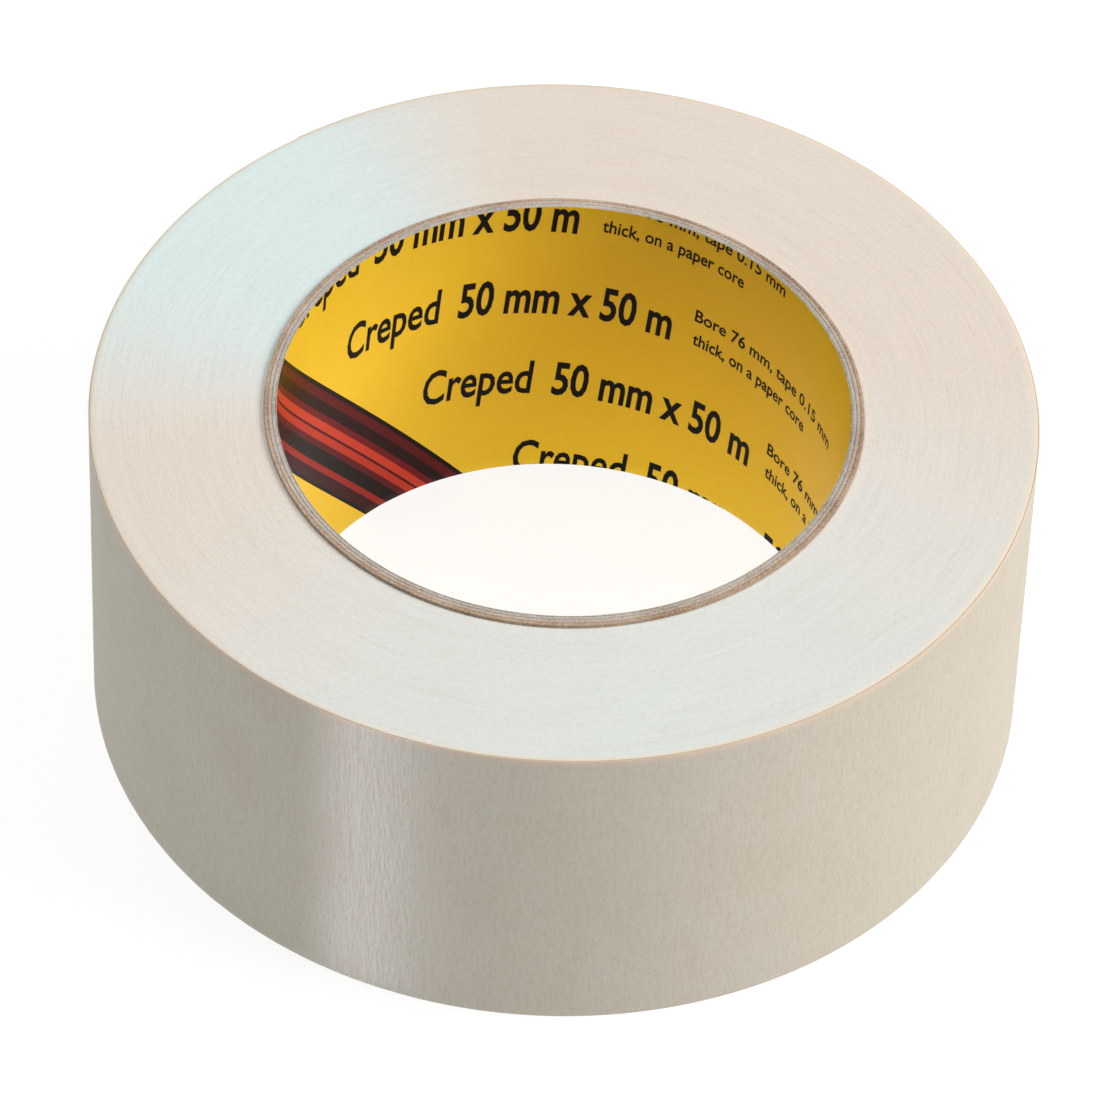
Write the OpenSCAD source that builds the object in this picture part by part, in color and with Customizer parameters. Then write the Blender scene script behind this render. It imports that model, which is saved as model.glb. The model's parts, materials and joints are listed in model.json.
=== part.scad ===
// Roll of masking tape: a spiral-wound paper core, the wound tape, and a free end that peels.
// Origin on the bore's axis at the bottom of the wound tape, +Z along the axis.

/* [Core] */
// Diameter of the bore, inside the printed liner
bore_d = 76.2; // [50:0.1:152.4]
// Height of the core's upper end above the tape's upper end
core_proud = 0.5; // [0:0.1:3]
// Thickness of the printed liner paper
liner_t = 0.12; // [0.05:0.01:0.5]
// Thickness of each board ply
ply_t = 0.49; // [0.2:0.01:1.5]
// Thickness of the glue film between two plies
glue_t = 0.04; // [0.02:0.01:0.2]

/* [Tape] */
// Width of the tape, which is the height of the roll as it lies
tape_width = 50; // [10:0.5:150]
// Length of tape on the roll, in metres
tape_length_m = 50; // [5:0.5:66]
// Thickness of the creped paper backing
backing_t = 0.115; // [0.06:0.005:0.25]
// Thickness of the rubber adhesive under the backing
adhesive_t = 0.035; // [0.02:0.005:0.1]

/* [Free end] */
// Length of tape that can be peeled from the roll
free_end_length = 80; // [20:1:85]
// Number of short lengths that the free end bends in
link_count = 10; // [2:1:10]
// Direction of the tape's cut end, counter-clockwise from +X
cut_end_angle = 127; // [0:1:359]
// Gap between the free end's adhesive and the turn below it
peel_gap = 0.01; // [0.005:0.005:0.015]
// Gap between neighbouring lengths of the free end
link_gap = 0.02; // [0.01:0.01:0.05]

/* [Hidden] */
$fn = 180;
mm_per_m = 1000;
half_turn = 180;
full_turn = 360;

// The core and the tape are cut from one long roll by the same blade
core_length = tape_width;

// Radii of the core, from the bore outwards
liner_r = bore_d / 2;
inner_glue_r = liner_r + liner_t;
inner_ply_r = inner_glue_r + glue_t;
middle_glue_r = inner_ply_r + ply_t;
middle_ply_r = middle_glue_r + glue_t;
outer_glue_r = middle_ply_r + ply_t;
outer_ply_r = outer_glue_r + glue_t;
core_r = outer_ply_r + ply_t;

// The tape winds one thickness further out each turn. Each turn is two half circles whose
// centres lie centre_shift either side of the axis, so it stays smooth as it grows.
tape_t = backing_t + adhesive_t;
centre_shift = tape_t / 4;
roll_r = sqrt(core_r * core_r + tape_length_m * mm_per_m * tape_t / PI);
pack_start_r = roll_r - tape_t * 3 / 2;
pack_r1 = pack_start_r + centre_shift;
pack_r2 = pack_start_r + centre_shift * 3;

// The free end lies on the turn's second half, so all its lengths share one centre
free_end_angle = free_end_length / (pack_r2 + tape_t) * half_turn / PI;
link_angle = free_end_angle / link_count;
link_gap_angle = link_gap / pack_r2 * half_turn / PI;

CORE_NODES = ["printed_liner", "liner_glue", "inner_core_ply", "inner_ply_glue",
              "middle_core_ply", "outer_ply_glue", "outer_core_ply"];
TAPE_NODES = ["wound_tape", "last_turn_backing", "last_turn_adhesive"];
BACKING_LINKS = [for (i = [1:link_count]) str("free_end_backing_", i)];
ADHESIVE_LINKS = [for (i = [1:link_count]) str("free_end_adhesive_", i)];

// A tube of the core, from one radius to another
module core_tube(r_in, r_out) {
    translate([0, 0, core_proud])
        rotate_extrude()
            translate([r_in, 0])
                square([r_out - r_in, core_length]);
}

// An arc of tape about one of the two centres of a turn
module tape_arc(centre_x, r_in, thickness, start, angle) {
    translate([centre_x, 0, 0])
        rotate([0, 0, start])
            rotate_extrude(angle = angle)
                translate([r_in, 0])
                    square([thickness, tape_width]);
}

// The half of a disc above the X axis, or below it where side is -1
module half_disc(centre_x, r, side) {
    intersection() {
        translate([centre_x, 0])
            circle(r);
        translate([-roll_r * 2, side > 0 ? 0 : -roll_r * 2])
            square([roll_r * 4, roll_r * 2]);
    }
}

// One layer of the last turn, from the step in the pack to where the free end begins
module last_turn_layer(height, thickness) {
    rotate([0, 0, cut_end_angle]) {
        tape_arc(-centre_shift, pack_r1 + height, thickness, 0, half_turn);
        tape_arc(centre_shift, pack_r2 + height, thickness, half_turn,
                 half_turn - free_end_angle - link_gap_angle / 2);
    }
}

// One layer of one short length of the free end; the last one ends at the cut
module free_end_layer(link, height, thickness) {
    start = full_turn - free_end_angle + (link - 1) * link_angle;
    rotate([0, 0, cut_end_angle])
        tape_arc(centre_shift, pack_r2 + height, thickness,
                 start + link_gap_angle / 2, link_angle - link_gap_angle);
}

// Yellow printed paper that lines the bore
module printed_liner() {
    color("#d8ab2a")
        core_tube(liner_r, inner_glue_r);
}

// Glue under the liner
module liner_glue() {
    color("#8d7f72")
        core_tube(inner_glue_r, inner_ply_r);
}

// Grey board ply
module inner_core_ply() {
    color("#b9b3ab")
        core_tube(inner_ply_r, middle_glue_r);
}

// Glue between the inner and middle plies
module inner_ply_glue() {
    color("#8d7f72")
        core_tube(middle_glue_r, middle_ply_r);
}

// Tan board ply
module middle_core_ply() {
    color("#c2a68f")
        core_tube(middle_ply_r, outer_glue_r);
}

// Glue between the middle and outer plies
module outer_ply_glue() {
    color("#8d7f72")
        core_tube(outer_glue_r, outer_ply_r);
}

// Tan board ply that the tape is wound on
module outer_core_ply() {
    color("#b3957c")
        core_tube(outer_ply_r, core_r);
}

// All the turns of tape under the last one, with a step of one thickness at the cut end
module wound_tape() {
    color("#dfd9ce")
        rotate([0, 0, cut_end_angle])
            difference() {
                linear_extrude(tape_width) {
                    half_disc(-centre_shift, pack_r1, 1);
                    half_disc(centre_shift, pack_r2, -1);
                }
                translate([0, 0, -tape_width])
                    cylinder(r = core_r, h = tape_width * 3);
            }
}

// Creped paper of the last turn
module last_turn_backing() {
    color("#d3c9ba")
        last_turn_layer(adhesive_t, backing_t);
}

// Adhesive of the last turn
module last_turn_adhesive() {
    color("#d9c58f")
        last_turn_layer(0, adhesive_t);
}

// Creped paper of one length of the free end
module free_end_backing(link) {
    color("#d3c9ba")
        free_end_layer(link, adhesive_t, backing_t);
}

// Adhesive of one length of the free end
module free_end_adhesive(link) {
    color("#d9c58f")
        free_end_layer(link, peel_gap, adhesive_t - peel_gap);
}

printed_liner();
liner_glue();
inner_core_ply();
inner_ply_glue();
middle_core_ply();
outer_ply_glue();
outer_core_ply();
wound_tape();
last_turn_backing();
last_turn_adhesive();
for (i = [1:link_count]) {
    free_end_backing(i);
    free_end_adhesive(i);
}
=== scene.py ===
import itertools
import json
import math

import bpy
import numpy as np
from mathutils import Matrix, Vector


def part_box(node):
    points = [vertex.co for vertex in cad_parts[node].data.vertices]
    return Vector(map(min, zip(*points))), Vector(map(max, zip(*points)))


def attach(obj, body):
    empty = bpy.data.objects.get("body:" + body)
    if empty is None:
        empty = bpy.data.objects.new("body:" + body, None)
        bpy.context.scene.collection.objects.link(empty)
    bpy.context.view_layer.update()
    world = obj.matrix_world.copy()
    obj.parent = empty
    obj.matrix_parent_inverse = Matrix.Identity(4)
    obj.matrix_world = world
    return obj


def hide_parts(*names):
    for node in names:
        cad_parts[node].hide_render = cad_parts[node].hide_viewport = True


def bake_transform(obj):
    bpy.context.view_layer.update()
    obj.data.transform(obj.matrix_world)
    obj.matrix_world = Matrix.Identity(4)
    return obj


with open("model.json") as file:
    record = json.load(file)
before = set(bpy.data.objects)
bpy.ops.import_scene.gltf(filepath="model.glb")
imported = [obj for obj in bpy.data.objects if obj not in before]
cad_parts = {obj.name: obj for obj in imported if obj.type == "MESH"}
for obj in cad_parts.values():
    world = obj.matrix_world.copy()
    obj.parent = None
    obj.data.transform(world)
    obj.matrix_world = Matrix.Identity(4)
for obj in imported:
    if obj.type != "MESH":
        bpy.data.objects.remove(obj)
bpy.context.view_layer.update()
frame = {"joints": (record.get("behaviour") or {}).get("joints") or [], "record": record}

# Roll of masking tape lying flat. Metres, +Z along the bore, origin at the bottom of the wound tape.

MM = 0.001
TURN = 2 * math.pi
TINY = 1e-6

# ---------------------------------------------------------------- sizes
mounts = {m["name"]: m for m in frame["record"]["mounts"]}
joints = {j["name"]: j for j in frame["joints"]}
BORE_R = mounts["core_bore"]["dims"]["r_mm"] * MM
CORE_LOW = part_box("inner_core_ply")[0].z
CORE_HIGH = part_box("inner_core_ply")[1].z
TAPE_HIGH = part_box("wound_tape")[1].z
LINER_T = 0.12 * MM
GLUE_T = 0.04 * MM
PLY_T = 0.49 * MM
BACKING_T = 0.115 * MM
ADHESIVE_T = 0.035 * MM
PEEL_GAP = 0.01 * MM
TAPE_T = BACKING_T + ADHESIVE_T
TAPE_LENGTH = 50.0
CUT_ANGLE = math.radians(127)
SHARP_ANGLE = math.radians(-114)  # the middle of the stretch whose creases are sharper
HAIR = 1e-5  # radians; two or three of these are left open between stretches of tape

INNER_PLY_R = BORE_R + LINER_T + GLUE_T
MID_Z = (CORE_LOW + CORE_HIGH) / 2
MIDDLE_PLY_R = INNER_PLY_R + PLY_T + GLUE_T
OUTER_PLY_R = MIDDLE_PLY_R + PLY_T + GLUE_T
CORE_R = OUTER_PLY_R + PLY_T
ROLL_R = math.sqrt(CORE_R**2 + TAPE_LENGTH * TAPE_T / math.pi)
PACK_R = ROLL_R - 1.5 * TAPE_T  # the pack's radius just after the step at the cut end

# faces round the roll, more of them where the surface is more finely shaped
SMOOTH_STEPS = 720
BOARD_STEPS = 900
CREPE_STEPS = 1500

# how far each piece's corners are softened
BOARD_SOFT = 0.07 * MM
WOUND_SOFT = 0.05 * MM
PAPER_SOFT = 0.03 * MM
LINER_SOFT = 0.02 * MM
GLUE_SOFT = 0.01 * MM
GUM_SOFT = 0.005 * MM

# the free end's hinges, as angles on from the cut direction
HINGE_NAMES = ["end_lift", "end_curl"] + [f"end_curl_{i}" for i in range(3, 11)]
hinge_places = [Vector(joints[name]["pos_m"]) for name in HINGE_NAMES]
hinge_angles = [(math.atan2(p.y, p.x) - CUT_ANGLE) % TURN for p in hinge_places]
LINK_ANGLE = hinge_angles[1] - hinge_angles[0]


# ---------------------------------------------------------------- materials
def linear(hex_colour):
    """An sRGB hex colour as linear RGBA."""
    channels = [int(hex_colour[i:i + 2], 16) / 255 for i in (1, 3, 5)]
    return [c / 12.92 if c <= 0.04045 else ((c + 0.055) / 1.055) ** 2.4 for c in channels] + [1.0]


def put_stops(elements, stops):
    """Sets a colour ramp's stops, each a position and a hex colour."""
    while len(elements) < len(stops):
        elements.new(1.0)
    for element, (position, colour) in zip(elements, stops):
        element.position = position
        element.color = linear(colour)


def add(tree, kind, settings=None, **links):
    """Adds a node. settings are its properties, input values or colour stops, and links feed its
    inputs by name, or by number after an underscore. A colour Mix has its share at 0 and its two
    colours at 6 and 7."""
    node = tree.nodes.new("ShaderNode" + kind)
    for key, value in (settings or {}).items():
        if key == "stops":
            put_stops(node.color_ramp.elements, value)
        elif isinstance(key, int) or key in node.inputs:
            node.inputs[key].default_value = value
        else:
            setattr(node, key, value)
    for name, source in links.items():
        key = int(name[1:]) if name[0] == "_" else name.replace("_", " ")
        tree.links.new(source, node.inputs[key])
    return node


def new_material(name, **settings):
    """A material with one Principled shader, and its settings by socket name."""
    made = bpy.data.materials.new(name)
    made.use_nodes = True
    shader = made.node_tree.nodes["Principled BSDF"]
    for key, value in settings.items():
        shader.inputs[key.replace("_", " ")].default_value = value
    return made, made.node_tree, shader


def rest_place(tree):
    """Where a point of the piece lies at rest, which follows the surface when the tape bends."""
    return add(tree, "Attribute", {"attribute_name": "place"}).outputs["Vector"]


def scaled_place(tree, x, y, z):
    """The rest place, scaled along each axis to so many features a metre."""
    return add(tree, "Mapping", {"Scale": (x, y, z)}, Vector=rest_place(tree)).outputs[0]


def creped_paper():
    """Bleached kraft paper creped on a drum and filled with latex: fine uneven creases run straight
    across the tape, so it is matt, with a silky streak where the light rakes the creases."""
    made, tree, shader = new_material("creped paper, latex filled", Roughness=0.62, IOR=1.46,
                                      Specular_IOR_Level=0.2)
    crease_w = 0.42 * MM  # creases are 0.3 to 0.6 mm apart
    crease_l = 2.2 * MM
    crease_vector = scaled_place(tree, 1 / crease_w, 1 / crease_w, 1 / crease_l)
    crease = add(tree, "TexNoise", {"Scale": 1.0, "Detail": 3.0, "Roughness": 0.55},
                 Vector=crease_vector)
    fibre_w = 0.4 * MM  # clumps of fibres, as single ones are too fine to show
    fibre_vector = scaled_place(tree, 1 / fibre_w, 1 / fibre_w, 1 / (0.45 * MM))
    fibre = add(tree, "TexNoise", {"Scale": 1.0, "Detail": 4.0, "Roughness": 0.6}, Vector=fibre_vector)
    cloud_w = 9 * MM  # the pulp is cloudy
    cloud_vector = scaled_place(tree, 1 / cloud_w, 1 / cloud_w, 1 / (14 * MM))
    cloud = add(tree, "TexNoise", {"Scale": 1.0, "Detail": 3.0}, Vector=cloud_vector)
    tint = add(tree, "ValToRGB", {"stops": [(0.3, "#cdc6b7"), (0.5, "#cfc9ba"), (0.72, "#cfcabd")]},
               Fac=cloud.outputs["Fac"])
    # painted shade: the low parts of the creases are painted darker, as shade falls in them
    crease_shade = add(tree, "ValToRGB", {"stops": [(0.3, "#d2c7b6"), (0.56, "#ffffff"), (1.0, "#ffffff")]},
                 Fac=crease.outputs["Fac"])
    mixed = add(tree, "Mix", {"data_type": "RGBA", "blend_type": "MULTIPLY", 0: 0.16},
                _6=tint.outputs[0], _7=crease_shade.outputs[0])
    speck = add(tree, "ValToRGB", {"stops": [(0.25, "#cdc1ae"), (0.5, "#ffffff"), (1.0, "#ffffff")]},
                Fac=fibre.outputs["Fac"])
    final = add(tree, "Mix", {"data_type": "RGBA", "blend_type": "MULTIPLY", 0: 0.3},
                _6=mixed.outputs[2], _7=speck.outputs[0])
    # a lighter, warmer band below the upper slit edge: painted highlight along the rim, over the
    # warmer tone of adhesive pressed out there
    place = rest_place(tree)
    parts = add(tree, "SeparateXYZ", None, Vector=place)
    edge = add(tree, "MapRange", {"From Min": TAPE_HIGH - 1.3 * MM, "From Max": TAPE_HIGH - 0.3 * MM,
                                  "To Max": 0.7}, Value=parts.outputs["Z"])
    with_rim_highlight = add(tree, "Mix", {"data_type": "RGBA", 7: linear("#e6d0ba")},
                 _0=edge.outputs[0], _6=final.outputs[2])
    tree.links.new(with_rim_highlight.outputs[2], shader.inputs["Base Color"])
    height = add(tree, "Math", {"operation": "MULTIPLY_ADD", 1: 0.25},
                 _0=fibre.outputs["Fac"], _2=crease.outputs["Fac"])
    # the creases are five times as deep along one stretch, which fades out in 15 degrees each way
    aim = (math.cos(SHARP_ANGLE), math.sin(SHARP_ANGLE), 0)
    facing = add(tree, "VectorMath", {"operation": "DOT_PRODUCT", 1: aim}, _0=place)
    depth = add(tree, "MapRange", {"interpolation_type": "SMOOTHSTEP", "From Min": ROLL_R * 0.968,
                                   "From Max": ROLL_R * 0.997, "To Min": 1.0, "To Max": 5.0},
                Value=facing.outputs["Value"])
    relief = add(tree, "Math", {"operation": "MULTIPLY"}, _0=height.outputs[0], _1=depth.outputs[0])
    bump = add(tree, "Bump", {"Strength": 0.35, "Distance": 0.05 * MM}, Height=relief.outputs[0])
    tree.links.new(bump.outputs[0], shader.inputs["Normal"])
    return made


def slit_turn_edges():
    """The slit edges of some hundred and fifty turns, paper and adhesive by turns, pressed into one
    face: chalky and pale, with faint rings where a turn stands a little proud."""
    made, tree, shader = new_material("slit edges of wound paper tape", Roughness=0.62, IOR=1.46)
    place = rest_place(tree)
    flat = add(tree, "VectorMath", {"operation": "MULTIPLY", 1: (1, 1, 0)}, _0=place)
    radius = add(tree, "VectorMath", {"operation": "LENGTH"}, _0=flat.outputs[0])
    direction = add(tree, "VectorMath", {"operation": "NORMALIZE"}, _0=flat.outputs[0])

    def rings(width, turns_in_circle, detail):
        """Noise drawn out round the roll: rings of a width that change slowly round the circle."""
        along = add(tree, "VectorMath", {"operation": "SCALE", "Scale": turns_in_circle},
                    _0=direction.outputs[0])
        across = add(tree, "Math", {"operation": "MULTIPLY", 1: 1 / width}, _0=radius.outputs["Value"])
        out = add(tree, "CombineXYZ", None, Z=across.outputs[0])
        vector = add(tree, "VectorMath", {"operation": "ADD"}, _0=along.outputs[0], _1=out.outputs[0])
        return add(tree, "TexNoise", {"Scale": 1.0, "Detail": detail, "Roughness": 0.6},
                   Vector=vector.outputs[0]).outputs["Fac"]

    fine = rings(0.3 * MM, 5.0, 2.0)  # pairs of turns, as single turns are too fine to show
    broad = rings(2.6 * MM, 1.6, 3.0)
    clouds = 26  # a metre, each about 38 mm wide
    cloud = add(tree, "TexNoise", {"Scale": 1.0, "Detail": 2.0},
                Vector=scaled_place(tree, clouds, clouds, clouds))
    # two sides, a narrow one and a broad one, are painted cooler: a painted cool reflection on the top
    # face
    cool_sheen_sides = []
    for side, begins in ((145, 0.68), (-75, -0.1)):
        aim = (math.cos(math.radians(side)), math.sin(math.radians(side)), 0)
        facing = add(tree, "VectorMath", {"operation": "DOT_PRODUCT", 1: aim}, _0=direction.outputs[0])
        eased = add(tree, "MapRange", {"interpolation_type": "SMOOTHSTEP", "From Min": begins},
                    Value=facing.outputs["Value"])
        cool_sheen_sides.append(eased.outputs[0])
    causes = add(tree, "CombineXYZ", None, X=cool_sheen_sides[0], Y=cool_sheen_sides[1], Z=cloud.outputs["Fac"])
    sheen_and_clouds = add(tree, "VectorMath", {"operation": "DOT_PRODUCT", 1: (0.8, 0.53, 0.28)},
               _0=causes.outputs[0])
    grains = 1700  # of slitting dust a metre, each about 0.6 mm wide, coarser than life to show
    dust = add(tree, "TexNoise", {"Scale": 1.0, "Detail": 3.0},
               Vector=scaled_place(tree, grains, grains, grains))
    # the tint runs from warm to cool with the painted cool reflection and the random clouds
    tint = add(tree, "ValToRGB", {"stops": [(0.14, "#ede4d8"), (0.38, "#ece9e1"), (0.62, "#e9ede9"),
                                            (0.94, "#e4f7f6")]}, Fac=sheen_and_clouds.outputs["Value"])
    ring = add(tree, "ValToRGB", {"stops": [(0.32, "#ece6dc"), (0.5, "#ffffff"), (0.7, "#f7f1e8")]},
               Fac=broad)
    line = add(tree, "ValToRGB", {"stops": [(0.3, "#dcd3c4"), (0.52, "#ffffff"), (0.8, "#ffffff")]},
               Fac=fine)
    grain = add(tree, "ValToRGB", {"stops": [(0.35, "#e2ddd4"), (0.56, "#ffffff"), (1.0, "#ffffff")]},
                Fac=dust.outputs["Fac"])
    mixed = tint.outputs[0]
    for share, layer in ((0.12, ring), (0.13, line), (0.17, grain)):
        mixed = add(tree, "Mix", {"data_type": "RGBA", "blend_type": "MULTIPLY", 0: share},
                    _6=mixed, _7=layer.outputs[0]).outputs[2]
    # the outermost turns, pressed down at the rim, show more adhesive and are creamier
    rim = add(tree, "MapRange", {"From Min": ROLL_R - 0.9 * MM, "From Max": ROLL_R - 0.2 * MM,
                                 "To Max": 0.7}, Value=radius.outputs["Value"])
    creamy = add(tree, "Mix", {"data_type": "RGBA", 7: linear("#f2e4c9")},
                 _0=rim.outputs[0], _6=mixed)
    tree.links.new(creamy.outputs[2], shader.inputs["Base Color"])
    height = add(tree, "Math", {"operation": "MULTIPLY_ADD", 1: 0.5},
                 _0=dust.outputs["Fac"], _2=fine)
    bump = add(tree, "Bump", {"Strength": 0.8, "Distance": 0.04 * MM}, Height=height.outputs[0])
    tree.links.new(bump.outputs[0], shader.inputs["Normal"])
    return made


BAND_SLOPE = math.radians(52.2)  # the liner's helix, from the circumference
BAND_W = 12.65 * MM
BAND_EDGE = math.radians(140.3)  # where the band's right edge crosses mid width, seen from inside
CLOUDS = (60, 60, 45)  # a metre: uneven coating, in clouds about 17 mm wide and 22 mm high


def printed_liner_paper():
    """Clay-coated paper, printed in one pass and varnished: a strong warm yellow with a striped band
    along the strip, a soft gloss, and the board's unevenness showing through."""
    made, tree, shader = new_material("coated paper, printed and varnished", Roughness=0.36, IOR=1.5,
                                      Specular_IOR_Level=0.06)
    from_band = add(tree, "VectorRotate", {"rotation_type": "Z_AXIS", "Angle": -BAND_EDGE},
                    Vector=rest_place(tree))
    parts = add(tree, "SeparateXYZ", None, Vector=from_band.outputs[0])
    angle = add(tree, "Math", {"operation": "ARCTAN2"}, _0=parts.outputs["Y"], _1=parts.outputs["X"])
    # distance square to the band's edge, from the way round the bore and the way up from mid width
    across = add(tree, "Math", {"operation": "MULTIPLY", 1: BORE_R * math.sin(BAND_SLOPE)},
                 _0=angle.outputs[0])
    rise = add(tree, "Math", {"operation": "ADD", 1: -MID_Z}, _0=parts.outputs["Z"])
    from_edge = add(tree, "Math", {"operation": "MULTIPLY_ADD", 1: -math.cos(BAND_SLOPE)},
                    _0=rise.outputs[0], _2=across.outputs[0])
    share = add(tree, "Math", {"operation": "MULTIPLY", 1: 1 / BAND_W}, _0=from_edge.outputs[0])
    stripes = add(tree, "ValToRGB", {"stops": [
        (0.0, "#160b08"), (0.05, "#5c1417"), (0.15, "#2a0f0b"), (0.27, "#6d171a"), (0.34, "#c8402a"),
        (0.43, "#4a1013"), (0.46, "#bd3824"), (0.54, "#5c1417"), (0.61, "#1d100a"), (0.76, "#9a281f"),
        (0.83, "#3c0f10"), (0.955, "#160b08")]}, Fac=share.outputs[0])
    stripes.color_ramp.interpolation = "CONSTANT"
    # the band runs from share 0 to share 1
    inside = add(tree, "Math", {"operation": "COMPARE", 1: 0.5, 2: 0.5}, _0=share.outputs[0])
    cloud = add(tree, "TexNoise", {"Scale": 1.0, "Detail": 3.0},
                Vector=scaled_place(tree, *CLOUDS))
    yellow = add(tree, "ValToRGB", {"stops": [(0.3, "#f2cd30"), (0.5, "#f4d034"), (0.7, "#f3cd36")]},
                 Fac=cloud.outputs["Fac"])
    print_mix = add(tree, "Mix", {"data_type": "RGBA"},
                    _0=inside.outputs[0], _6=yellow.outputs[0], _7=stripes.outputs[0])
    fibres = 1500  # a metre: clumps about 0.7 mm wide, as single fibres are too fine to show
    fibre = add(tree, "TexNoise", {"Scale": 1.0, "Detail": 4.0, "Roughness": 0.65},
                Vector=scaled_place(tree, fibres, fibres, fibres))
    speck = add(tree, "ValToRGB", {"stops": [(0.3, "#e6dfd0"), (0.5, "#ffffff"), (1.0, "#ffffff")]},
                Fac=fibre.outputs["Fac"])
    final = add(tree, "Mix", {"data_type": "RGBA", "blend_type": "MULTIPLY", 0: 0.15},
                _6=print_mix.outputs[2], _7=speck.outputs[0])
    tree.links.new(final.outputs[2], shader.inputs["Base Color"])
    lumps = 260  # of the board behind, a metre, each about 4 mm wide
    lump = add(tree, "TexNoise", {"Scale": 1.0, "Detail": 2.0},
               Vector=scaled_place(tree, lumps, lumps, lumps))
    height = add(tree, "Math", {"operation": "MULTIPLY_ADD", 1: 0.08},
                 _0=fibre.outputs["Fac"], _2=lump.outputs["Fac"])
    bump = add(tree, "Bump", {"Strength": 0.35, "Distance": 0.08 * MM}, Height=height.outputs[0])
    tree.links.new(bump.outputs[0], shader.inputs["Normal"])
    dull = add(tree, "MapRange", {"To Min": 0.3, "To Max": 0.44}, Value=fibre.outputs["Fac"])
    tree.links.new(dull.outputs[0], shader.inputs["Roughness"])
    return made


def board(name, pale, mid, dark):
    """Recycled board cut square across: short grey and brown fibres in layers, torn a little open by
    the blade, and quite dull."""
    made, tree, shader = new_material(name, Roughness=0.85, IOR=1.46)
    fibre_w = 0.35 * MM
    fibre = add(tree, "TexNoise", {"Scale": 1.0, "Detail": 4.0, "Roughness": 0.65},
                Vector=scaled_place(tree, 1 / fibre_w, 1 / fibre_w, 1 / fibre_w))
    patches = 130  # a metre, each about 8 mm wide
    patch = add(tree, "TexNoise", {"Scale": 1.0, "Detail": 2.0},
                Vector=scaled_place(tree, patches, patches, patches))
    mixed = add(tree, "Math", {"operation": "MULTIPLY_ADD", 1: 0.6},
                _0=patch.outputs["Fac"], _2=fibre.outputs["Fac"])
    colour = add(tree, "ValToRGB", {"stops": [(0.55, dark), (0.8, mid), (1.0, pale)]},
                 Fac=mixed.outputs[0])
    tree.links.new(colour.outputs[0], shader.inputs["Base Color"])
    bump = add(tree, "Bump", {"Strength": 0.8, "Distance": 0.06 * MM}, Height=fibre.outputs["Fac"])
    tree.links.new(bump.outputs[0], shader.inputs["Normal"])
    return made


def dried_glue():
    """Starch glue dried between the plies: a thin brown line, a little glassy."""
    made, tree, shader = new_material("starch glue, dried", Roughness=0.5, IOR=1.5)
    lumps = 700  # a metre, each about 1.4 mm wide
    lump = add(tree, "TexNoise", {"Scale": 1.0, "Detail": 3.0},
               Vector=scaled_place(tree, lumps, lumps, lumps))
    colour = add(tree, "ValToRGB", {"stops": [(0.3, "#5d4d40"), (0.7, "#857362")]},
                 Fac=lump.outputs["Fac"])
    tree.links.new(colour.outputs[0], shader.inputs["Base Color"])
    return made


def rubber_adhesive():
    """Natural rubber and resin, coated on the paper and dried: clear pale amber, tacky and shiny,
    taking the shape of the creases behind it."""
    made, tree, shader = new_material("rubber resin adhesive, coated", Roughness=0.28, IOR=1.52,
                                      Coat_Weight=0.3, Coat_Roughness=0.15)
    crease_w = 0.6 * MM
    crease = add(tree, "TexNoise", {"Scale": 1.0, "Detail": 2.0},
                 Vector=scaled_place(tree, 1 / crease_w, 1 / crease_w, 1 / (7 * MM)))
    cloud = add(tree, "TexNoise", {"Scale": 1.0, "Detail": 4.0},
                Vector=scaled_place(tree, *CLOUDS))
    colour = add(tree, "ValToRGB", {"stops": [(0.3, "#dacb9c"), (0.5, "#dfd1a6"), (0.7, "#e2d6b0")]},
                 Fac=cloud.outputs["Fac"])
    tree.links.new(colour.outputs[0], shader.inputs["Base Color"])
    dull = add(tree, "MapRange", {"To Min": 0.18, "To Max": 0.4}, Value=cloud.outputs["Fac"])
    tree.links.new(dull.outputs[0], shader.inputs["Roughness"])
    bump = add(tree, "Bump", {"Strength": 0.5, "Distance": 0.05 * MM}, Height=crease.outputs["Fac"])
    tree.links.new(bump.outputs[0], shader.inputs["Normal"])
    return made


def printing_ink():
    """Dense black ink on coated paper: near black with a brown cast, thinner in places."""
    made, tree, shader = new_material("offset ink, black", Roughness=0.42, IOR=1.5,
                                      Specular_IOR_Level=0.06)
    thin_spots = 900  # a metre, each about 1.1 mm wide
    cover = add(tree, "TexNoise", {"Scale": 1.0, "Detail": 4.0, "Roughness": 0.7},
                Vector=scaled_place(tree, thin_spots, thin_spots, thin_spots))
    colour = add(tree, "ValToRGB", {"stops": [(0.3, "#0c0907"), (0.6, "#15100d"), (0.8, "#221915")]},
                 Fac=cover.outputs["Fac"])
    tree.links.new(colour.outputs[0], shader.inputs["Base Color"])
    return made


CREPE = creped_paper()
EDGES = slit_turn_edges()
LINER = printed_liner_paper()
GREY_BOARD = board("grey chipboard, slit", "#d0cec8", "#bebab2", "#9b968d")
PINK_BOARD = board("tan chipboard, slit", "#d6c8ba", "#c7b6a6", "#a79484")
BROWN_BOARD = board("kraft board, slit", "#cfbaa5", "#bba38b", "#917660")
GLUE = dried_glue()
ADHESIVE = rubber_adhesive()
INK = printing_ink()


# ---------------------------------------------------------------- modelling
def choose(piece, test):
    """In edit mode, selects the points that pass the test."""
    bpy.ops.object.mode_set(mode="OBJECT")
    mesh = piece.data
    for part in (mesh.vertices, mesh.edges, mesh.polygons):
        part.foreach_set("select", [False] * len(part))
    mesh.vertices.foreach_set("select", [bool(test(v.co)) for v in mesh.vertices])
    bpy.ops.object.mode_set(mode="EDIT")
    bpy.ops.mesh.select_mode(type="VERT")


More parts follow.
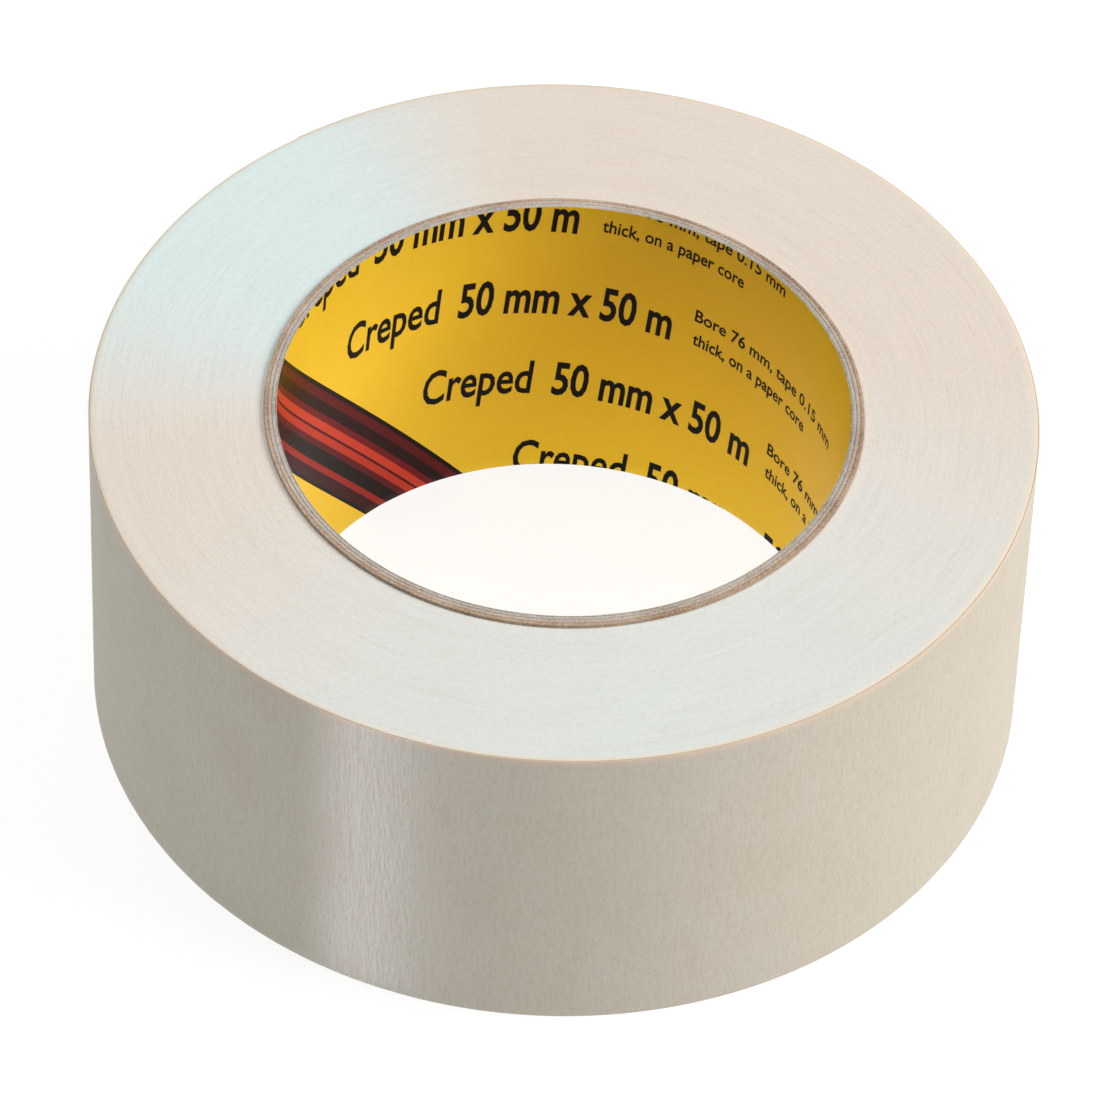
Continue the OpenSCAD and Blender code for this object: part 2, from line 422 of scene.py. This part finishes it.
def cross_section(name, r_in, r_out, low, high, soften, cuts):
    """The section of a ring: a thin rectangle in the XZ plane with softened corners. cuts gives the
    extra points along its out, top, bottom and in sides."""
    bpy.ops.object.select_all(action="DESELECT")
    bpy.ops.mesh.primitive_plane_add(size=1)
    piece = bpy.context.object
    piece.name = piece.data.name = name
    bpy.ops.object.mode_set(mode="EDIT")
    bpy.ops.transform.resize(value=(r_out - r_in, high - low, 1))
    bpy.ops.transform.rotate(value=math.pi / 2, orient_axis="X", center_override=(0, 0, 0))
    bpy.ops.transform.translate(value=((r_in + r_out) / 2, 0, (low + high) / 2))
    bpy.ops.mesh.bevel(offset=soften, segments=2, affect="VERTICES")
    sides = {
        "out": lambda co: abs(co.x - r_out) < TINY,
        "in": lambda co: abs(co.x - r_in) < TINY,
        "top": lambda co: abs(co.z - high) < TINY,
        "bottom": lambda co: abs(co.z - low) < TINY,
    }
    for side, count in cuts.items():
        choose(piece, sides[side])
        bpy.ops.mesh.subdivide(number_cuts=count)
    bpy.ops.mesh.select_all(action="SELECT")
    bpy.ops.mesh.delete(type="ONLY_FACE")
    return piece


def spin_round(piece, start, sweep, steps, closed):
    """Turns a section about the axis, and shuts its two ends unless it meets itself."""
    bpy.ops.object.mode_set(mode="OBJECT")
    screw = piece.modifiers.new("screw", "SCREW")
    screw.angle = sweep
    screw.steps = screw.render_steps = steps
    screw.use_merge_vertices = closed
    screw.merge_threshold = TINY
    bpy.ops.object.modifier_apply(modifier=screw.name)
    bpy.ops.object.mode_set(mode="EDIT")
    if not closed:
        for end in (0.0, sweep):
            across = Vector((-math.sin(end), math.cos(end), 0))
            out = Vector((math.cos(end), math.sin(end), 0))
            choose(piece, lambda co: abs(co.dot(across)) < TINY and co.dot(out) > 0)
            bpy.ops.mesh.edge_face_add()
    bpy.ops.mesh.select_all(action="SELECT")
    bpy.ops.mesh.normals_make_consistent(inside=False)
    bpy.ops.object.mode_set(mode="OBJECT")
    piece.rotation_euler.z = start
    bpy.ops.object.transform_apply(location=True, rotation=True, scale=True)
    bpy.ops.object.shade_smooth_by_angle(angle=math.radians(50))


def points_of(piece):
    """A piece's points, a row each."""
    found = np.zeros(len(piece.data.vertices) * 3)
    piece.data.vertices.foreach_get("co", found)
    return found.reshape(-1, 3)


def put_points(piece, points):
    """Moves a piece's points to these rows."""
    piece.data.vertices.foreach_set("co", points.ravel())
    piece.data.update()


def keep_place(piece):
    """Keeps each point's rest place as an attribute, for the patterns that follow the surface."""
    kept = piece.data.attributes.new("place", "FLOAT_VECTOR", "POINT")
    kept.data.foreach_set("vector", points_of(piece).astype(np.float32).ravel())


def finished(piece, material):
    """The piece with its material and its kept rest place."""
    piece.data.materials.append(material)
    keep_place(piece)
    return piece


# large odd numbers, which give neighbouring cells and seeds unlike heights
SCATTER = (73856093, 19349663, 83492791, 6542989, 1274126177)


def uneven(places, seed):
    """Smooth noise from -1 to 1 at each row of places, whose cells are one unit wide."""
    cell = np.floor(places).astype(np.int64)
    part = places - cell
    ease = part * part * (3 - 2 * part)
    total = np.zeros(len(places))
    for corner in itertools.product((0, 1), repeat=3):
        at = cell + corner
        mixed = at[:, 0] * SCATTER[0] ^ at[:, 1] * SCATTER[1] ^ at[:, 2] * SCATTER[2]
        mixed = mixed ^ seed * SCATTER[3]
        mixed = (mixed ^ mixed >> 13) * SCATTER[4]
        height = (mixed >> 8 & 0xFFFF) / 32767.5 - 1
        total += height * np.prod(np.where(corner, ease, 1 - ease), axis=1)
    return total


def crepe_height(places):
    """How far the creped surface stands out at each place on the wall: creases of two widths that
    run straight up it, sharper along one stretch of the tape, and a slow slackness."""
    creases = 0.007 * uneven(places / (0.9 * MM, 0.9 * MM, 8 * MM), 1)
    fine_creases = 0.006 * uneven(places / (0.5 * MM, 0.5 * MM, 3 * MM), 2)
    slack = 0.03 * MM * uneven(places / (17 * MM), 3)
    angle = np.arctan2(places[:, 1], places[:, 0]) - SHARP_ANGLE
    sharp_reach = math.radians(9)
    sharper = 1 + 2.2 * np.exp(-(angle / sharp_reach) ** 2)
    return (creases + fine_creases) * MM * sharper + slack


def way_round(points, slack):
    """Each point's radius, and its angle on from the cut. A point up to slack short of the cut counts
    as at its start, not as a whole turn on."""
    angle = (np.arctan2(points[:, 1], points[:, 0]) - CUT_ANGLE + slack) % TURN
    return np.hypot(points[:, 0], points[:, 1]), angle


def wind_on(piece):
    """Moves each point out by the turn's growth: one thickness of tape a turn from the cut."""
    points = points_of(piece)
    radius, angle = way_round(points, TINY)
    scale = (radius + TAPE_T * angle / TURN) / radius
    points[:, :2] *= scale[:, None]
    put_points(piece, points)


def crepe_the_outside(piece, mid_r):
    """Raises and sinks the outer face by the creases; mid_r is between its faces before winding."""
    points = points_of(piece)
    radius, angle = way_round(points, TINY)
    outer = radius - TAPE_T * angle / TURN > mid_r
    grown = 1 + crepe_height(points[outer]) / radius[outer]
    points[outer, :2] *= grown[:, None]
    put_points(piece, points)


def rim_drop(radius, rim):
    """The height of the turns at each radius near the rim, where the outermost are pressed down."""
    depth = 0.16 * MM
    reach = 0.3 * MM
    return -depth * np.exp(-np.maximum(rim - radius, 0) / reach)


# ---------------------------------------------------------------- core
def core_ring(name, r_in, r_out, material, node, soften, sink, steps):
    """One ply or glue line of the core, with its slit ends a little ragged."""
    piece = cross_section(name, r_in, r_out, CORE_LOW + sink, CORE_HIGH - sink, soften,
                          {"top": 4, "bottom": 4})
    spin_round(piece, 0, TURN, steps, closed=True)
    points = points_of(piece)
    raised = 0.03 * MM * uneven(points / (0.8 * MM), 4) + 0.04 * MM * uneven(points / (9 * MM), 5)
    points[:, 2] += np.sign(points[:, 2] - MID_Z) * raised
    put_points(piece, points)
    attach(finished(piece, material), "roll")
    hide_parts(node)


def board_ply(name, r_in, material, node):
    """A ply of board, which reaches both slit ends."""
    core_ring(name, r_in, r_in + PLY_T, material, node, BOARD_SOFT, 0, BOARD_STEPS)


def glue_line(name, r_in, r_out, node):
    """Glue fills the gap between two plies and stops a little short of their slit ends."""
    core_ring(name, r_in, r_out, GLUE, node, GLUE_SOFT, 0.06 * MM, SMOOTH_STEPS)


board_ply("core_grey_ply", INNER_PLY_R, GREY_BOARD, "inner_core_ply")
board_ply("core_tan_ply", MIDDLE_PLY_R, PINK_BOARD, "middle_core_ply")
board_ply("core_kraft_ply", OUTER_PLY_R, BROWN_BOARD, "outer_core_ply")
glue_line("glue_under_liner", BORE_R + LINER_T, INNER_PLY_R, "liner_glue")
glue_line("glue_inner_line", INNER_PLY_R + PLY_T, MIDDLE_PLY_R, "inner_ply_glue")
glue_line("glue_outer_line", MIDDLE_PLY_R + PLY_T, OUTER_PLY_R, "outer_ply_glue")


# ---------------------------------------------------------------- printed liner
def liner_tube():
    """The liner: a tube of coated paper whose points run along the helix it was wound on, so that
    its lapped seam and the plies' seams behind it stay straight."""
    lap_angle = math.radians(250)
    lap_depth = 0.09 * MM
    lap_fade = 2.2 * MM
    ply_seams = (math.radians(40), math.radians(160))
    seam_rise = 0.03 * MM
    piece = cross_section("liner_paper", BORE_R, BORE_R + LINER_T, CORE_LOW, CORE_HIGH, LINER_SOFT,
                          {"in": 32, "out": 32})
    spin_round(piece, 0, TURN, SMOOTH_STEPS, closed=True)
    points = points_of(piece)
    angle = np.arctan2(points[:, 1], points[:, 0])
    radius = np.hypot(points[:, 0], points[:, 1])
    inside = radius < BORE_R + LINER_T / 2
    gap = (angle - lap_angle) % TURN * BORE_R
    height = -lap_depth * np.exp(-gap / lap_fade)
    for seam in ply_seams:
        gap = np.abs((angle - seam + math.pi) % TURN - math.pi) * BORE_R
        height += seam_rise * np.exp(-(gap / MM) ** 2)
    height += 0.015 * MM * uneven(points / (6 * MM), 6)
    radius += np.where(inside, height, 0)
    turned = angle + (points[:, 2] - MID_Z) / math.tan(BAND_SLOPE) / BORE_R
    points[:, 0] = radius * np.cos(turned)
    points[:, 1] = radius * np.sin(turned)
    put_points(piece, points)
    finished(piece, LINER)
    # the slit ends show the bare paper
    piece.data.materials.append(GREY_BOARD)
    for face in piece.data.polygons:
        face.material_index = 1 if abs(face.normal.z) > 0.3 else 0
    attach(piece, "roll")
    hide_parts("printed_liner")


liner_tube()


# ---------------------------------------------------------------- lettering on the liner
ROW_SLOPE = math.radians(-5.5)
INK_T = 0.03 * MM
INK_OFF = 0.02 * MM  # from the bore's wall to the ink's middle, to clear the liner's unevenness


def text_line(words, height, length, weight):
    """A line of lettering as a flat mesh in XY, its baseline on X and its tallest letter the height
    given. It is made nearly a metre tall first, as the fill of a tiny letter fails."""
    bpy.ops.object.select_all(action="DESELECT")
    bpy.ops.object.text_add()
    text = bpy.context.object
    text.data.body = words
    text.data.offset = weight
    text.data.extrude = 0.5
    text.data.resolution_u = 3
    bpy.ops.object.convert(target="MESH")
    corners = points_of(text)
    text.scale = (length / corners[:, 0].max(), height / corners[:, 1].max(), INK_T)
    bpy.ops.object.transform_apply(location=False, rotation=False, scale=True)
    return text


def wrap_on_bore(piece, start_angle, rise, step):
    """Cuts a flat line of lettering into short widths and lays it on the bore's wall."""
    bpy.ops.object.mode_set(mode="EDIT")
    width = max(v.co.x for v in piece.data.vertices)
    for k in range(1, int(width / step)):
        bpy.ops.mesh.select_all(action="SELECT")
        bpy.ops.mesh.bisect(plane_co=(k * step, 0, 0), plane_no=(1, 0, 0), threshold=TINY)
    bpy.ops.object.mode_set(mode="OBJECT")
    x, y, deep = points_of(piece).T
    angle = start_angle - (x * math.cos(ROW_SLOPE) - y * math.sin(ROW_SLOPE)) / BORE_R
    up = x * math.sin(ROW_SLOPE) + y * math.cos(ROW_SLOPE)
    radius = BORE_R - deep - INK_OFF
    wrapped = (radius * np.cos(angle), radius * np.sin(angle), MID_Z + rise + up)
    put_points(piece, np.stack(wrapped, axis=1))


def trim_to_liner():
    """Cuts off what the active piece has past the liner's two edges, as the slitting blade does."""
    bpy.ops.object.mode_set(mode="EDIT")
    margin = 0.05 * MM
    for height, facing in ((CORE_LOW + margin, -1), (CORE_HIGH - margin, 1)):
        bpy.ops.mesh.select_all(action="SELECT")
        bpy.ops.mesh.bisect(plane_co=(0, 0, height), plane_no=(0, 0, facing), use_fill=True,
                            clear_outer=True, threshold=TINY)
    bpy.ops.mesh.select_all(action="SELECT")
    bpy.ops.mesh.remove_doubles(threshold=TINY)
    bpy.ops.mesh.normals_make_consistent(inside=False)
    bpy.ops.object.mode_set(mode="OBJECT")


def joined(pieces, name):
    """The pieces as one."""
    bpy.ops.object.select_all(action="DESELECT")
    for piece in pieces:
        piece.select_set(True)
    bpy.context.view_layer.objects.active = pieces[0]
    bpy.ops.object.join()
    made = bpy.context.object
    made.name = made.data.name = name
    return made


def lettering():
    """Rows of size lettering, each row lower and further round than the last, along the helix. A row
    is a word in plain letters, the size in bold ones, then two short lines in small ones."""
    row_drop, row_shift = 17 * MM, 13.6 * MM
    middle_angle, middle_rise = math.radians(142), 7.9 * MM  # where the middle row begins
    column_step = 104 * MM
    cut_w = 1 * MM
    # each line's words, capital height, length, boldness, distance along the row and height above it
    lines = [("Creped", 6.3 * MM, 16.2 * MM, 0.014, 0.0, 0.0),
             ("50 mm x 50 m", 6.3 * MM, 30.3 * MM, 0.022, 18.9 * MM, 0.0),
             ("Bore 76 mm, tape 0.15 mm", 2.3 * MM, 29 * MM, 0.012, 52.5 * MM, 5.6 * MM),
             ("thick, on a paper core", 2.3 * MM, 21.3 * MM, 0.012, 52.5 * MM, 1.0 * MM)]
    pieces = []
    for column in (0.0, column_step):
        for row in range(-2, 3):
            for words, height, length, weight, along, above in lines:
                piece = text_line(words, height, length, weight)
                start = middle_angle - (row_shift * row + column + along) / BORE_R
                rise = middle_rise - row_drop * row + above + along * math.tan(ROW_SLOPE)
                wrap_on_bore(piece, start, rise, cut_w)
                pieces.append(piece)
    piece = joined(pieces, "size_lettering")
    trim_to_liner()
    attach(finished(piece, INK), "roll")


lettering()


# ---------------------------------------------------------------- wound tape
def wound_turns():
    """All the turns under the last one, as one body whose ends show the turns as fine rings. It is
    open by a hair at the cut, where its outer turn steps up by one thickness."""
    piece = cross_section("wound_turns", CORE_R, PACK_R, 0, TAPE_HIGH, WOUND_SOFT,
                          {"top": 72, "bottom": 30, "out": 10})
    spin_round(piece, CUT_ANGLE, TURN - 3 * HAIR, SMOOTH_STEPS, closed=False)
    points = points_of(piece)
    radius, angle = way_round(points, HAIR)
    share = (radius - CORE_R) / (PACK_R - CORE_R)
    grown = radius + share * TAPE_T * angle / TURN
    points[:, :2] *= (grown / radius)[:, None]
    # a turn's height changes slowly round its circle, and faster out from turn to turn
    unit = points[:, :2] / grown[:, None]
    fine = 0.014 * MM * uneven(np.column_stack((unit * 3, grown / (0.7 * MM))), 7)
    broad = 0.024 * MM * uneven(np.column_stack((unit * 1.3, grown / (4.5 * MM))), 8)
    height = fine + broad + rim_drop(grown, PACK_R + TAPE_T * 2)
    ends = np.minimum(points[:, 2], TAPE_HIGH - points[:, 2]) < 0.02 * MM
    upper = points[:, 2] > TAPE_HIGH / 2
    # the lower end rests on the floor, so its turns only rise from there, and less
    points[:, 2] += np.where(ends, np.where(upper, height, np.abs(height) * 0.4), 0)
    put_points(piece, points)
    finished(piece, EDGES)
    piece.data.materials.append(CREPE)
    wall_from = PACK_R - 0.03 * MM
    for face in piece.data.polygons:
        centre = face.center
        on_wall = math.hypot(centre.x, centre.y) > wall_from and abs(face.normal.z) < 0.5
        face.material_index = 1 if on_wall else 0
    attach(piece, "roll")
    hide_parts("wound_tape")


def tape_layer(name, r_in, r_out, start, sweep, steps, rows, soften, creped):
    """A stretch of one layer of the tape, wound on from the start angle. It is a little narrower than
    the turns under it, whose rim it is pressed down with."""
    low, high = 0.05 * MM, TAPE_HIGH - 0.12 * MM
    piece = cross_section(name, r_in, r_out, low, high, soften, {"out": rows, "in": max(rows // 8, 1)})
    spin_round(piece, CUT_ANGLE + start, sweep, steps, closed=False)
    wind_on(piece)
    if creped:
        crepe_the_outside(piece, (r_in + r_out) / 2)
    return piece


# the inner and outer radii of the last turn's two layers, just after the cut
BACKING = (PACK_R + ADHESIVE_T, PACK_R + TAPE_T)
GUM = (PACK_R + PEEL_GAP, PACK_R + ADHESIVE_T)

wound_turns()
last_backing = tape_layer("last_turn_paper", *BACKING, 0, hinge_angles[0], CREPE_STEPS, 38,
                          PAPER_SOFT, True)
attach(finished(last_backing, CREPE), "roll")
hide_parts("last_turn_backing")
last_gum = tape_layer("last_turn_gum", *GUM, 0, hinge_angles[0], SMOOTH_STEPS, 4, GUM_SOFT, False)
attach(finished(last_gum, ADHESIVE), "roll")
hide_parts("last_turn_adhesive")


def tear_the_cut(piece):
    """Makes the last edge of the tape uneven, as a torn paper edge is."""
    points = points_of(piece)
    along = np.array((-math.sin(CUT_ANGLE), math.cos(CUT_ANGLE), 0))
    reach = 1.5 * MM
    near_cut = np.clip(1 + points @ along / reach, 0, 1)
    height = points * (0, 0, 1)
    depth = 0.4 * MM
    ragged = depth * np.abs(uneven(height / (1.4 * MM), 9))
    ragged += depth * np.abs(uneven(height / (6 * MM), 10))
    points -= (near_cut * ragged)[:, None] * along
    put_points(piece, points)


def free_end():
    """The end that peels: a short stretch for each hinge, from the middle of one length of the CAD
    strip to the middle of the next, so each spans its own hinge and meets its neighbours."""
    count = len(HINGE_NAMES)
    face_w = 0.21 * MM
    layers = (("paper", BACKING, CREPE, "creped_paper", "backing", 38, PAPER_SOFT, True),
              ("gum", GUM, ADHESIVE, "rubber_adhesive", "adhesive", 12, GUM_SOFT, False))
    for k in range(count):
        first = hinge_angles[k] - (LINK_ANGLE / 2 if k else 0)
        last = TURN if k == count - 1 else hinge_angles[k] + LINK_ANGLE / 2
        steps = max(round((last - first) * ROLL_R / face_w), 4)
        for kind, (r_in, r_out), material, slot, node, rows, soften, creped in layers:
            piece = tape_layer(f"free_end_{kind}_{k + 1}", r_in, r_out, first,
                               last - first - 2 * HAIR, steps, rows, soften, creped)
            if k == count - 1:
                tear_the_cut(piece)
            finished(piece, material)
            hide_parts(f"free_end_{node}_{k + 1}")
            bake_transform(piece)


free_end()


# ---------------------------------------------------------------- floor, light and camera
def floor():
    """A wide white floor that glows a little, as one lit from below does, so it stays white."""
    bpy.ops.object.select_all(action="DESELECT")
    bpy.ops.mesh.primitive_plane_add(size=12)
    ground = bpy.context.object
    ground.name = "floor"
    made = new_material("floor, matt white", Roughness=0.9, Base_Color=linear("#808080"),
                        Emission_Color=linear("#ffffff"), Emission_Strength=0.85)[0]
    ground.data.materials.append(made)


def softbox(name, place, aim, width, height, watts, colour, spread=math.pi):
    """A rectangular soft light at a place, facing a point."""
    lamp = bpy.data.lights.new(name, "AREA")
    lamp.shape = "RECTANGLE"
    lamp.size, lamp.size_y = width, height
    lamp.energy = watts
    lamp.spread = spread
    lamp.color = linear(colour)[:3]
    held = bpy.data.objects.new(name, lamp)
    held.location = place
    held.rotation_euler = (Vector(aim) - Vector(place)).to_track_quat("-Z", "Y").to_euler()
    bpy.context.scene.collection.objects.link(held)


def lights():
    """A pale sky, a large key light from the right, a fill from above and a narrow raking strip."""
    world = bpy.data.worlds.new("studio")
    world.use_nodes = True
    sky = world.node_tree.nodes["Background"]
    sky.inputs["Color"].default_value = linear("#f6fbff")
    sky.inputs["Strength"].default_value = 0.13
    bpy.context.scene.world = world
    aim = (0, 0, 0.03)
    softbox("key_right", (2.0, -0.3, 1.45), aim, 1.4, 1.4, 50.5, "#fff5ef")
    softbox("top_fill", (-0.3, 0.3, 1.4), aim, 1.2, 1.2, 10.2, "#ffffff")
    # the strip stands on the left and passes the roll's near side, where it rakes the creases
    from_angle = math.radians(175)
    back = Vector((math.cos(from_angle), math.sin(from_angle), 0))
    passes = Vector((-back.y, back.x, 0)) * (60.5 * MM) + Vector((0, 0, 26 * MM))
    beam = math.radians(1.6)
    softbox("left_strip", back * 0.25 + passes, passes, 3 * MM, 55 * MM, 0.0008, "#dde0ff", beam)


CAMERA_ELEVATION = math.radians(46.3)
CAMERA_DISTANCE = 1.077
CAMERA_ROLL = math.radians(2.17)
CAMERA_LENS = 261.5
CAMERA_ASIDE = -1.18 * MM
CAMERA_UP = -1.48 * MM


def camera():
    """A long lens a metre away, above the roll, a little rolled."""
    back = Vector((0, -math.cos(CAMERA_ELEVATION), math.sin(CAMERA_ELEVATION)))
    right = Vector((1, 0, 0))
    up = back.cross(right)
    shot = bpy.data.cameras.new("camera")
    shot.lens = CAMERA_LENS
    shot.sensor_width = 36
    shot.clip_start, shot.clip_end = 0.05, 50
    held = bpy.data.objects.new("camera", shot)
    middle = Vector((0, 0, TAPE_HIGH / 2))
    held.location = middle + back * CAMERA_DISTANCE + right * CAMERA_ASIDE + up * CAMERA_UP
    facing = Matrix((right, up, back)).transposed()
    held.rotation_euler = (facing @ Matrix.Rotation(CAMERA_ROLL, 3, "Z")).to_euler()
    bpy.context.scene.collection.objects.link(held)
    bpy.context.scene.camera = held


floor()
lights()
camera()
bpy.context.scene.view_settings.view_transform = "Standard"
